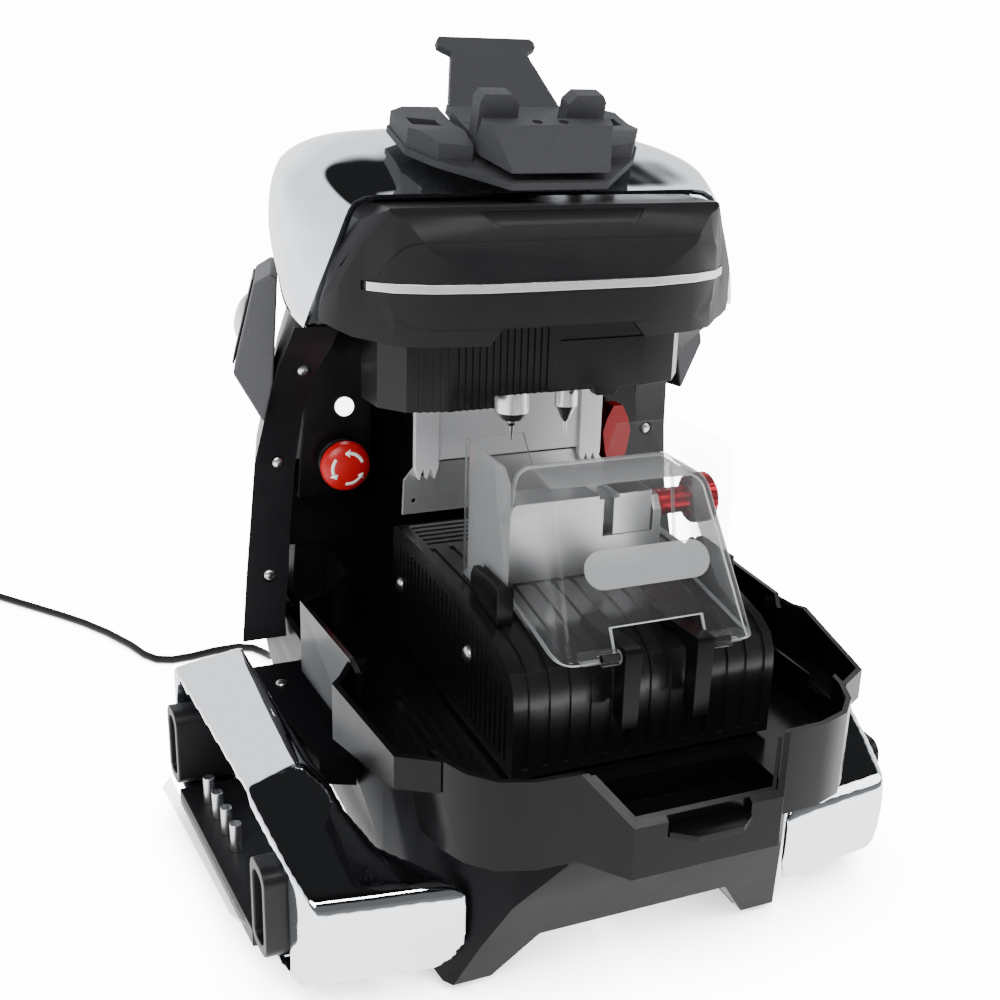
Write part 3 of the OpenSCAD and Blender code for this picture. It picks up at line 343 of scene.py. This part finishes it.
def round_edges(piece, width, segments=2, angle=28):
    weld = piece.modifiers.new("weld", "WELD")
    weld.merge_threshold = 0.00001
    flat = piece.modifiers.new("flat faces", "DECIMATE")
    flat.decimate_type = "DISSOLVE"
    flat.angle_limit = math.radians(1.0)
    bevel = piece.modifiers.new("bevel", "BEVEL")
    bevel.width = width
    bevel.segments = segments
    bevel.limit_method = "ANGLE"
    bevel.angle_limit = math.radians(angle)
    bevel.harden_normals = True
    bevel.use_clamp_overlap = True


def dress(material, width, *names):
    for name in names:
        piece = nodes[name]
        give(piece, material)
        if "custom_normal" in piece.data.attributes:
            piece.data.attributes.remove(piece.data.attributes["custom_normal"])
        for face in piece.data.polygons:
            face.use_smooth = True
        round_edges(piece, width)


dress(BODY, 0.0012, "base_shell", "rear_housing", "rear_cover")
dress(POLISHED, 0.0008, "chip_tray", "chip_drawer")
dress(RIBBED, 0.001, "table_cover")
dress(POLISHED, 0.0006, "guard_brackets")
dress(FRAME, 0.0008, "left_side_frame", "right_side_frame")
dress(GLOSS, 0.0006, "left_inner_panel", "right_inner_panel", "probe_cover")
dress(GLOSS, 0.0005, "spindle_housing")
dress(SATIN, 0.0004, "work_light", "bit_shelves")
dress(SATIN, 0.001, "pod_end_caps", "estop_base", "ear_badges", "head_shell")
dress(PALE_GRAIN, 0.003, "side_ears")
dress(GRAIN, 0.001, "phone_mount", "phone_cradle")
dress(CHROME, 0.001, "chrome_hood", "left_pod", "right_pod")
dress(STEEL, 0.0003, "base_plate", "frame_screws", "cover_screws", "guide_rails", "y_screw",
      "z_screw", "x_screw", "spindle", "probe_holder", "spare_bits")
dress(STRIP, 0.0004, "head_strip")
dress(CUTTER, 0.0001, "cutter")
dress(ALUMINIUM, 0.0004, "column_guard", "y_carriage", "z_carriage", "table_slide")
dress(CURTAIN, 0.0002, "guard_curtain")
dress(GROUND, 0.0005, "vise_body", "vise_jaw")
dress(MOTOR, 0.001, "axis_motors", "x_motor", "spindle_motor")
dress(BOARD, 0.0002, "control_board")
dress(CLEAR, 0.0009, "rear_guard", "front_cover")
dress(THICK, 0.0006, "pod_windows")
# The bevelled edges take the rim material, a painted highlight along the edges.
for name in ("rear_guard", "pod_windows"):
    nodes[name].data.materials.append(RIM_HIGHLIGHT)
    nodes[name].modifiers["bevel"].material = 1
dress(RED, 0.0005, "estop_button", "switch_handle")
dress(ANODISED, 0.0002, "vise_knob")
dress(LENS, 0.0002, "status_lamp")
dress(RUBBER, 0.0005, "rubber_feet", "cord_gland", "cord_plug")


# ---- cord ----
CORD_D = 0.006
ROUTE = [(-96, 206, 58), (-96, 222, 58), (-96, 240, 57), (-96, 255, 51), (-96.5, 268, 40),
         (-97.5, 280, 27), (-99, 292, 14), (-101, 305, 5), (-104, 318, 3.2), (-110, 329, 3),
         (-122, 335, 3), (-142, 334, 3), (-160, 330, 3), (-176, 329, 3), (-188, 334, 3),
         (-196, 346, 3), (-204, 368, 3), (-219, 399, 3), (-236, 427, 3), (-253, 450, 3),
         (-272, 474, 3), (-292, 499, 3), (-310, 522, 3), (-326, 541, 3), (-346, 555, 3)]
COIL_AT = (-375, 524)
COIL_TURNS = 5.62
COIL_STEPS = 16        # points to a turn
COIL_RADIUS = 39       # of the outermost turn
COIL_NARROWS = 12      # from there to the innermost turn
FLOOR_LAYER = 3        # height of the cord's middle on the floor
LAYER_GAP = 5.6        # from there to the turns on top
PLUG_END = [(-388, 476, 8.6), (-379, 474, 8.2), (-368, 473, 8)]


def coil_points():
    """Turns from the outside in on the floor, then from the inside out on top of them."""
    start = math.atan2(ROUTE[-1][1] - COIL_AT[1], ROUTE[-1][0] - COIL_AT[0])
    steps = round(COIL_TURNS * COIL_STEPS)
    points = []
    for i in range(2, steps + 1):
        part = i / steps
        radius = COIL_RADIUS - COIL_NARROWS * (1 - abs(2 * part - 1))
        height = FLOOR_LAYER + LAYER_GAP * min(max((part - 0.46) / 0.08, 0), 1)
        angle = start + 2 * math.pi * i / COIL_STEPS
        points.append((COIL_AT[0] + radius * math.cos(angle),
                       COIL_AT[1] + radius * math.sin(angle), height))
    return points


def make_cord():
    """Mains lead: down from the rear, along the floor and into its coil."""
    points = [Vector(p) * MM for p in ROUTE + coil_points() + PLUG_END]
    curve = bpy.data.curves.new("cord", "CURVE")
    curve.dimensions = "3D"
    curve.bevel_depth = CORD_D / 2
    curve.bevel_resolution = 3
    curve.use_fill_caps = True
    spline = curve.splines.new("POLY")
    spline.points.add(len(points) - 1)
    for point, place in zip(spline.points, points):
        point.co = (*place, 1)
    spline.use_smooth = True
    cord = link("cord", curve)
    curve.materials.append(RUBBER)
    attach(cord, "machine")
    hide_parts("cord_lead", "cord_coil")


make_cord()


# ---- hood ----
# Outline from the front as (half width, height), crest and lower edge as (depth, height),
# plan as (depth, half width), and the planes that cut its corners as (point, outward side).
HOOD_FRONT = [(0, 446), (60, 439.5), (90, 433.5), (108, 428.5), (118, 423.5), (127, 417),
              (134, 410.5), (139, 401), (142.5, 388), (145, 374), (146.5, 360), (150, 320)]
HOOD_CREST = [(18, 406.5), (60, 424), (92, 434), (118, 437), (146, 433), (172, 424), (192, 407)]
HOOD_EDGE = [(28, 334), (44, 340), (60, 346), (77, 362), (122, 379), (192, 392)]
HOOD_PLAN = [(20, 139), (28, 139), (46, 146), (62, 146), (80, 143.5), (100, 139.5), (130, 133),
             (160, 123.5), (180, 116), (192, 110)]
HOOD_CUTS = [((139, 28, 340), (0.870, -0.3855, 0.3074)), ((112, 100, 428), (0.629, 0.110, 0.769))]
HOOD_REAR = 192
HOOD_BLEND = 26        # the higher, the sharper the limits meet
POST_FOOT = 406
POSTS = ((60, 421.5), (105, 433))


def between(table, at):
    """Value at a place in a table of (place, value), straight between its entries."""
    for (a, low), (b, high) in zip(table, table[1:]):
        if at <= b:
            return low + (high - low) * max(0.0, (at - a) / (b - a))
    return table[-1][1]


def eased(table, at, reach):
    """The same value averaged over a reach to each side, which rounds the corners."""
    spots = [at + reach * (i / 4 - 1) for i in range(9)]
    return sum(between(table, spot) for spot in spots) / len(spots)


def hood_point(turn, y):
    """Point of the hood's skin at an angle off the upright, all limits blended softly."""
    low, crest = eased(HOOD_EDGE, y, 6), eased(HOOD_CREST, y, 8)
    side = eased(HOOD_PLAN, y, 7)
    dx, dz = side * math.sin(turn), (crest - low) * math.cos(turn)
    size = math.hypot(dx, dz)
    dx, dz = dx / size, dz / size
    reach = []
    if dz > 1e-4:
        reach.append((crest - low) / dz)
    if dx > 1e-4:
        reach.append(side / dx)
    outline = []
    for (x0, z0), (x1, z1) in zip(HOOD_FRONT, HOOD_FRONT[1:]):
        nx, nz = z0 - z1, x1 - x0
        along = nx * dx + nz * dz
        if along > 1e-6:
            outline.append((nx * x0 + nz * (z0 - low)) / along)
    reach.append(min(outline))
    for (x0, y0, z0), (nx, ny, nz) in HOOD_CUTS:
        along = nx * dx + nz * dz
        if along > 1e-6:
            reach.append((nx * x0 + nz * (z0 - low) - ny * (y - y0)) / along)
    far = sum(r ** -HOOD_BLEND for r in reach) ** (-1 / HOOD_BLEND)
    return far * dx, low + far * dz


def make_hood_skin():
    """Mirror-bright shell over the head, with its front edge folded in."""
    around, along = 72, 60
    bm = bmesh.new()
    bmesh.ops.create_grid(bm, x_segments=around, y_segments=along, size=1)
    for v in bm.verts:
        turn, row = v.co.x * math.pi / 2, round((v.co.y + 1) / 2 * along)
        start = 20 + 12.5 * abs(v.co.x) ** 3
        part = min(max((row - 1) / (along - 2), 0), 1)
        y = start + (HOOD_REAR - start) * part
        x, z = hood_point(abs(turn), y)
        if row == 0:
            fold = 2 + 6 * abs(v.co.x) ** 2
            x, y, z = x * (1 - fold / 140), y + 1.5, z - fold * (1 - abs(v.co.x) ** 4)
        if row == along:
            z = min(z, eased(HOOD_EDGE, HOOD_REAR, 6))
        v.co = Vector((math.copysign(x, turn), y, z)) * MM
    bmesh.ops.recalc_face_normals(bm, faces=bm.faces)
    if max(bm.faces, key=lambda f: f.calc_center_median().z).normal.z < 0:
        bmesh.ops.reverse_faces(bm, faces=bm.faces)
    for edge in bm.edges:
        edge.smooth = edge.calc_face_angle(0) < 0.6
    hood = from_bmesh("hood_skin", bm)
    wall = hood.modifiers.new("wall", "SOLIDIFY")
    wall.thickness = 0.003
    wall.offset = -1
    give(hood, CHROME)
    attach(hood, "machine")
    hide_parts("chrome_hood")


def make_hood_posts():
    """Four short posts inside the hood, which carry it on the head."""
    posts = bmesh.new()
    for side in (-1, 1):
        for y, top in POSTS:
            place = Matrix.Translation(Vector((60 * side, y, (POST_FOOT + top) / 2)) * MM)
            bmesh.ops.create_cone(posts, cap_ends=True, segments=32, radius1=0.005,
                                  radius2=0.005, depth=(top - POST_FOOT) * MM, matrix=place)
    stand = from_bmesh("hood_posts", posts, smooth=False)
    round_edges(stand, 0.0004)
    give(stand, GLOSS)
    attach(stand, "machine")


make_hood_skin()
make_hood_posts()


# ---- clear front cover ----
COVER_TOP, COVER_LOW = 275, 197
# Half width and depth of its front (-1) and rear (1) corners, below and then above
COVER_CORNERS = {-1: (57, -143, 48, -99), 1: (57, -58, 48, -58)}
NOTCH_HALF, NOTCH_TOP = 26, 211
HINGE_AT = (-146, 200.5)
PLATE_AT, PLATE_LEAN = (0, -121.6, 237), 60.4


def make_cover_shell():
    """Thin moulded cover with round edges, open below and behind, notched at its hinge."""
    bm = bmesh.new()
    bmesh.ops.create_cube(bm, size=2)
    for v in bm.verts:
        low_x, low_y, top_x, top_y = COVER_CORNERS[round(v.co.y)]
        x, y, z = (top_x, top_y, COVER_TOP) if v.co.z > 0 else (low_x, low_y, COVER_LOW)
        v.co = Vector((math.copysign(x, v.co.x), y, z)) * MM
    fronts = [f for f in bm.faces if f.normal.y < -0.3]
    top = [f for f in bm.faces if f.normal.z > 0.9]
    kept = {e for f in fronts + top for e in f.edges}
    kept = [e for e in kept if all(v.co.z > 0.2 for v in e.verts) and
            not all(v.co.y > -0.06 for v in e.verts) or
            abs(e.verts[0].co.z - e.verts[1].co.z) > 0.05 and max(v.co.y for v in e.verts) < -0.09]
    bmesh.ops.bevel(bm, geom=kept, offset=0.009, offset_type="OFFSET", segments=6, profile=0.5,
                    affect="EDGES", clamp_overlap=True, material=-1)
    along = Vector((0, 70, 12.8)).normalized()
    bmesh.ops.bisect_plane(bm, geom=bm.verts[:] + bm.edges[:] + bm.faces[:],
                           plane_co=Vector((0, -128, 196.6)) * MM,
                           plane_no=Vector((0, along.z, -along.y)), clear_outer=True)
    for place, normal in (((NOTCH_HALF, 0, 0), (1, 0, 0)), ((-NOTCH_HALF, 0, 0), (1, 0, 0)),
                          ((0, 0, NOTCH_TOP), (0, 0, 1))):
        bmesh.ops.bisect_plane(bm, geom=bm.verts[:] + bm.edges[:] + bm.faces[:],
                               plane_co=Vector(place) * MM, plane_no=normal)
    gone = []
    for f in bm.faces:
        c = f.calc_center_median() / MM
        in_notch = abs(c.x) < NOTCH_HALF and c.z < NOTCH_TOP and c.y < -110
        if f.normal.z < -0.9 or f.normal.y > 0.9 or in_notch:
            gone.append(f)
    bmesh.ops.delete(bm, geom=gone, context="FACES")
    for edge in bm.edges:
        edge.smooth = edge.calc_face_angle(0) < 0.5
    shell = from_bmesh("cover_shell", bm)
    wall = shell.modifiers.new("wall", "SOLIDIFY")
    wall.thickness = 0.0024
    wall.offset = -1
    wall.use_even_offset = True
    # The wall's rim and the lip bevel take the rim material, a painted highlight along the cover's
    # edges.
    wall.material_offset_rim = 1
    lip = shell.modifiers.new("lip", "BEVEL")
    lip.width = 0.0007
    lip.segments = 2
    lip.material = 1
    lip.limit_method = "ANGLE"
    lip.angle_limit = math.radians(50)
    give(shell, CLEAR)
    shell.data.materials.append(RIM_HIGHLIGHT)
    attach(shell, "cover")
    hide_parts("front_cover")


def make_cover_feet():
    """The two clear knuckles that the cover swings on, with the tabs that join them to it."""
    feet = bmesh.new()
    for side in (-1, 1):
        place = (Matrix.Translation(Vector((32 * side, *HINGE_AT)) * MM)
                 @ Matrix.Rotation(math.pi / 2, 4, "Y"))
        bmesh.ops.create_cone(feet, cap_ends=True, segments=32, radius1=0.004, radius2=0.004,
                              depth=0.01, matrix=place)
        bmesh.ops.create_cube(feet, size=1, matrix=Matrix.Translation(
            Vector((34 * side, -141.5, 199.6)) * MM) @ Matrix.Diagonal((0.025, 0.007, 0.005, 1)))
    knuckles = from_bmesh("cover_feet", feet, smooth=False)
    round_edges(knuckles, 0.0008)
    give(knuckles, CLEAR)
    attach(knuckles, "cover")


def make_cover_plate():
    """Bare oval plate on the sloping front of the cover."""
    plate = bmesh.new()
    lean = Matrix.Translation(Vector(PLATE_AT) * MM) @ Matrix.Rotation(
        math.radians(PLATE_LEAN), 4, "X")
    ring = []
    for side in (-1, 1):
        for step in range(17):
            angle = math.pi * (step / 16 - 0.5) * side + (math.pi if side < 0 else 0)
            ring.append(plate.verts.new(((26 * side + 10 * math.cos(angle)) * MM,
                                         10 * math.sin(angle) * MM, 0)))
    bmesh.ops.contextual_create(plate, geom=ring)
    bmesh.ops.recalc_face_normals(plate, faces=plate.faces[:])
    if plate.faces[:][0].normal.z < 0:
        bmesh.ops.reverse_faces(plate, faces=plate.faces)
    bmesh.ops.translate(plate, vec=(0, 0, 0.0012), verts=plate.verts)
    bmesh.ops.inset_region(plate, faces=plate.faces[:], thickness=0.0014, depth=0)
    inner = [f for f in plate.faces if len(f.verts) > 8]
    bmesh.ops.inset_region(plate, faces=inner, thickness=0.0003, depth=-0.0007)
    bmesh.ops.transform(plate, matrix=lean, verts=plate.verts)
    oval = from_bmesh("cover_plate", plate, smooth=False)
    body = oval.modifiers.new("body", "SOLIDIFY")
    body.thickness = 0.0012
    body.offset = -1
    give(oval, FROSTED)
    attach(oval, "cover")


make_cover_shell()
make_cover_feet()
make_cover_plate()


# ---- emergency stop and ears ----
STOP_AT = (-95, 104, 232)
STOP_DOME = [(0, 13.4), (7, 12.8), (12, 11.4), (15, 9)]


def on_dome(bm, matrix):
    """Lays flat print, drawn in X and Y, on the dome of the push button."""
    for v in bm.verts:
        v.co.z = (between(STOP_DOME, math.hypot(v.co.x, v.co.y) / MM) + 0.12) * MM
    bmesh.ops.transform(bm, matrix=matrix, verts=bm.verts)


def make_stop_arrows():
    """Three white arrows round the button, the sign that a turn lets it go."""
    bm = bmesh.new()
    for third in range(3):
        first = math.radians(120 * third + 20)
        start = [bm.verts.new((r * MM * math.cos(first), r * MM * math.sin(first), 0))
                 for r in (9.0, 11.0)]
        edge = bm.edges.new(start)
        turned = bmesh.ops.spin(bm, geom=[edge, *start], cent=(0, 0, 0), axis=(0, 0, 1),
                                angle=math.radians(62), steps=14, use_duplicate=False)
        last = [v for v in turned["geom_last"] if isinstance(v, bmesh.types.BMVert)]
        end = math.radians(120 * third + 82)
        point = end + math.radians(20)
        tip = [(7.4, end), (10.0, point), (12.6, end)]
        corners = [bm.verts.new((r * MM * math.cos(a), r * MM * math.sin(a), 0)) for r, a in tip]
        face = bm.faces.new(corners)
        bmesh.ops.triangulate(bm, faces=[face])
    bmesh.ops.recalc_face_normals(bm, faces=bm.faces)
    if bm.faces[:][0].normal.z < 0:
        bmesh.ops.reverse_faces(bm, faces=bm.faces)
    place = Matrix.Translation(Vector(STOP_AT) * MM) @ Matrix.Rotation(math.pi / 2, 4, "X")
    on_dome(bm, place)
    arrows = from_bmesh("stop_arrows", bm)
    skin = arrows.modifiers.new("ink", "SOLIDIFY")
    skin.thickness = 0.0003
    skin.offset = -1
    give(arrows, PRINT)
    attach(arrows, "stop")


make_stop_arrows()

EAR_SPOT = (147.4, 142.4, 322.1)
EAR_OUT = (0.937, 0.234, 0.257)


def make_ear_buttons():
    """Plain bright rosettes on the ears, in the place of a badge."""
    for side, name in ((-1, "left_ear_button"), (1, "right_ear_button")):
        bm = bmesh.new()
        bmesh.ops.create_uvsphere(bm, u_segments=48, v_segments=24, radius=1)
        bmesh.ops.bisect_plane(bm, geom=bm.verts[:] + bm.edges[:] + bm.faces[:],
                               plane_co=(0, 0, 0.35), plane_no=(0, 0, -1), clear_outer=True)
        bmesh.ops.contextual_create(bm, geom=[e for e in bm.edges if e.is_boundary])
        bmesh.ops.translate(bm, vec=(0, 0, -0.35), verts=bm.verts)
        bmesh.ops.scale(bm, vec=Vector((15, 15, 7)) * MM, verts=bm.verts)
        spot = Vector((EAR_SPOT[0] * side, *EAR_SPOT[1:])) * MM
        turn = Vector((EAR_OUT[0] * side, *EAR_OUT[1:])).to_track_quat("Z", "Y")
        bmesh.ops.transform(bm, matrix=Matrix.Translation(spot) @ turn.to_matrix().to_4x4(),
                            verts=bm.verts)
        for edge in bm.edges:
            edge.smooth = edge.calc_face_angle(0) < 0.6
        button = from_bmesh(name, bm)
        give(button, STRIP)
        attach(button, "machine")


make_ear_buttons()


# ---- side pods ----

def make_pod(name, node):
    """The pod's solid with its edges drawn round, as polished castings have them."""
    bm = bmesh.new()
    bm.from_mesh(nodes[node].data)
    bmesh.ops.remove_doubles(bm, verts=bm.verts, dist=0.00001)
    pod = from_bmesh(name, bm)
    fine = pod.modifiers.new("fine", "REMESH")
    fine.mode = "VOXEL"
    fine.voxel_size = 0.0016
    fine.use_smooth_shade = True
    soft = pod.modifiers.new("soft", "SMOOTH")
    soft.factor = 0.5
    soft.iterations = 14
    give(pod, CHROME)
    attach(pod, "machine")
    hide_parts(node)


make_pod("pod_skin_left", "left_pod")
make_pod("pod_skin_right", "right_pod")


# ---- floor and light ----

def seen_directly(tree):
    """1 where the eye meets the surface, also through see-through plastic, 0 in a reflection."""
    return tree.nodes.new("ShaderNodeLightPath").outputs["Is Camera Ray"]


def blend_values(tree, factor, low, high):
    """low where the factor is 0 and high where it is 1; either may be a socket."""
    mix = tree.nodes.new("ShaderNodeMix")
    for name, value in (("Factor", factor), ("A", low), ("B", high)):
        if isinstance(value, (int, float)):
            mix.inputs[name].default_value = value
        else:
            tree.links.new(value, mix.inputs[name])
    return mix.outputs["Result"]


def ramp_along(tree, value, start, end, low, high):
    """A soft step from low at the start to high at the end."""
    node = tree.nodes.new("ShaderNodeMapRange")
    node.interpolation_type = "SMOOTHSTEP"
    for name, number in (("From Min", start), ("From Max", end), ("To Min", low),
                         ("To Max", high)):
        node.inputs[name].default_value = number
    tree.links.new(value, node.inputs["Value"])
    return node.outputs["Result"]


def times(tree, a, b):
    """Product of two sockets."""
    node = tree.nodes.new("ShaderNodeMath")
    node.operation = "MULTIPLY"
    tree.links.new(a, node.inputs[0])
    tree.links.new(b, node.inputs[1])
    return node.outputs["Value"]


def pale_floor():
    """White to the eye but for a painted soft shadow under the feet, where ambient occlusion
    darkens the emission; bright in reflections.
    """
    f = Finish("pale floor", (0.5, 0.5, 0.503), 0.7)
    split = f.tree.nodes.new("ShaderNodeSeparateXYZ")
    f.join(f.coords.outputs["Object"], split.inputs["Vector"])
    glow = ramp_along(f.tree, split.outputs["Y"], -1.6, -0.35, 0.3, 2.2)
    f.shader.inputs["Emission Color"].default_value = (1, 1, 1, 1)
    # Painted shadow: ambient occlusion lowers the emission the eye sees where the machine stands
    # near the floor.
    near = f.tree.nodes.new("ShaderNodeAmbientOcclusion")
    near.samples = 8
    near.inputs["Distance"].default_value = 0.07
    shadow = ramp_along(f.tree, near.outputs["AO"], 0.1, 0.95, 0.9, 14.0)
    f.join(blend_values(f.tree, seen_directly(f.tree), glow, shadow),
           f.shader.inputs["Emission Strength"])
    return f.material


def make_stage():
    bm = bmesh.new()
    bmesh.ops.create_grid(bm, x_segments=1, y_segments=1, size=8)
    floor = from_bmesh("floor", bm)
    give(floor, pale_floor())
    floor.location = (0, 0, -0.0002)


def area_light(name, place, target, size, power, mirrored=True):
    data = bpy.data.lights.new(name, "AREA")
    data.shape = "RECTANGLE"
    data.size, data.size_y = size
    data.energy = power
    light = bpy.data.objects.new(name, data)
    light.location = place
    light.rotation_euler = (Vector(target) - Vector(place)).to_track_quat("-Z", "Y").to_euler()
    light.visible_glossy = mirrored
    bpy.context.scene.collection.objects.link(light)


def make_world():
    """White backdrop to the eye; in reflections a bright horizon behind, a dark ceiling."""
    world = bpy.data.worlds.new("studio")
    bpy.context.scene.world = world
    world.use_nodes = True
    tree = world.node_tree
    background = tree.nodes["Background"]
    background.inputs["Color"].default_value = (0.96, 0.98, 1.0, 1)
    coords = tree.nodes.new("ShaderNodeTexCoord")
    split = tree.nodes.new("ShaderNodeSeparateXYZ")
    tree.links.new(coords.outputs["Generated"], split.inputs["Vector"])
    behind = ramp_along(tree, split.outputs["Y"], -0.45, 0.15, 0.1, 1.0)
    height = ramp_along(tree, split.outputs["Z"], 0.05, 0.3, 2.4, 1.5)
    ceiling = ramp_along(tree, split.outputs["Z"], 0.58, 0.7, 1.0, 0.012)
    shade = times(tree, times(tree, behind, height), ceiling)
    tree.links.new(blend_values(tree, seen_directly(tree), shade, 15.0),
                   background.inputs["Strength"])


make_stage()
make_world()
area_light("key", (-0.9, -1.0, 1.3), (0, 0, 0.2), (0.8, 0.8), 22)
area_light("strip", (0.1, -1.0, 1.45), (0, -0.1, 0.15), (1.5, 0.22), 16)
area_light("fill", (1.2, -0.6, 0.9), (0, 0, 0.2), (0.6, 1.0), 8)
area_light("top", (0.0, 0.7, 1.5), (0, 0, 0.2), (1.4, 0.6), 30, mirrored=False)
